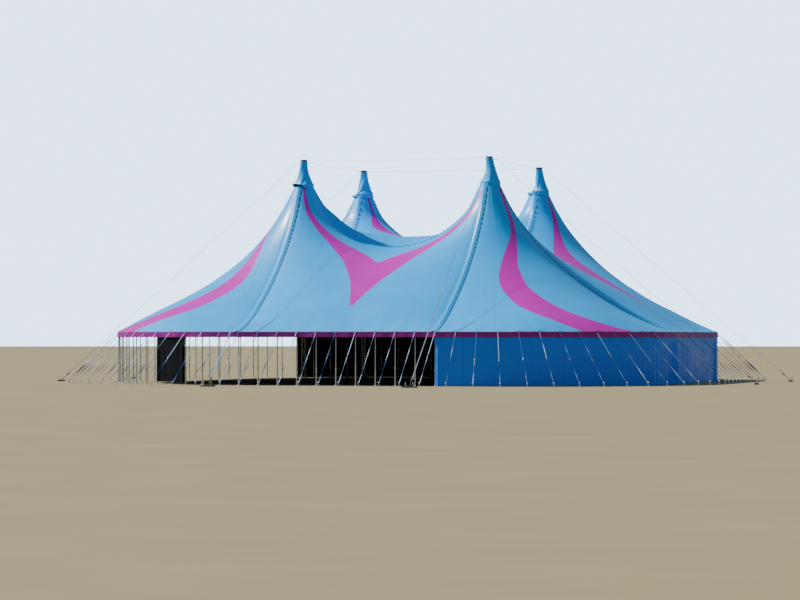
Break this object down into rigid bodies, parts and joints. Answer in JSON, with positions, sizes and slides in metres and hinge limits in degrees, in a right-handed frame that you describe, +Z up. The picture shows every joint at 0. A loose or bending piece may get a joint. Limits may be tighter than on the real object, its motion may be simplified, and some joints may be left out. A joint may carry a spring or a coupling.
{
  "type": "four-pole circus big top tent, 1:2 scale model",
  "caption": "Round-cornered four-pole big top: swept azure and magenta canopy, valance, partly open walls, side poles, strap guys and ground anchors.",
  "frame": {"origin": "middle of the tent on the ground, midway between the four king poles", "axes": "+X to the right of someone facing the open front, +Y towards the back, +Z up"},
  "size_m": [25.325, 25.325, 7.8],
  "materials": {
    "canopy_cloth": "coated polyester, glossy, azure with magenta bands",
    "hat_cloth": "coated polyester, azure, gathered",
    "valance_cloth": "coated polyester, magenta",
    "wall_cloth": "coated polyester, blue outside and black inside",
    "door_cloth": "black coated polyester",
    "mast_steel": "dark grey paint on welded tube",
    "pole_steel": "galvanised tube, dull",
    "strap_webbing": "woven polyester webbing, pale above and blue below",
    "cable_steel": "galvanised wire rope and steel anchors"
  },
  "bodies": {
    "root": {"canopy_centre": "canopy_cloth", "canopy_front": "canopy_cloth", "canopy_right": "canopy_cloth", "canopy_back": "canopy_cloth", "canopy_left": "canopy_cloth", "canopy_front_right": "canopy_cloth", "canopy_back_right": "canopy_cloth", "canopy_back_left": "canopy_cloth", "canopy_front_left": "canopy_cloth", "king_pole_front_right": "mast_steel", "king_pole_back_right": "mast_steel", "king_pole_back_left": "mast_steel", "king_pole_front_left": "mast_steel", "hat_front_right": "hat_cloth", "hat_back_right": "hat_cloth", "hat_back_left": "hat_cloth", "hat_front_left": "hat_cloth", "valance_front": "valance_cloth", "valance_right": "valance_cloth", "valance_back": "valance_cloth", "valance_left": "valance_cloth", "side_poles_front": "pole_steel", "side_poles_right": "pole_steel", "side_poles_back": "pole_steel", "side_poles_left": "pole_steel", "side_poles_front_right": "pole_steel", "side_poles_back_right": "pole_steel", "side_poles_back_left": "pole_steel", "side_poles_front_left": "pole_steel", "strap_guys_front": "strap_webbing", "strap_guys_right": "strap_webbing", "strap_guys_back": "strap_webbing", "strap_guys_left": "strap_webbing", "strap_guys_front_right": "strap_webbing", "strap_guys_back_right": "strap_webbing", "strap_guys_back_left": "strap_webbing", "strap_guys_front_left": "strap_webbing", "main_guy_front_right_to_right": "cable_steel", "main_guy_front_right_to_front": "cable_steel", "main_guy_back_right_to_back": "cable_steel", "main_guy_back_right_to_right": "cable_steel", "main_guy_back_left_to_left": "cable_steel", "main_guy_back_left_to_back": "cable_steel", "main_guy_front_left_to_front": "cable_steel", "main_guy_front_left_to_left": "cable_steel", "head_cable_front": "cable_steel", "head_cable_right": "cable_steel", "head_cable_back": "cable_steel", "head_cable_left": "cable_steel", "wall_front_right": "wall_cloth", "wall_right": "wall_cloth", "wall_back_right": "wall_cloth", "wall_back": "wall_cloth", "wall_back_left": "wall_cloth", "wall_front_left": "door_cloth"}
  },
  "joints": []
}
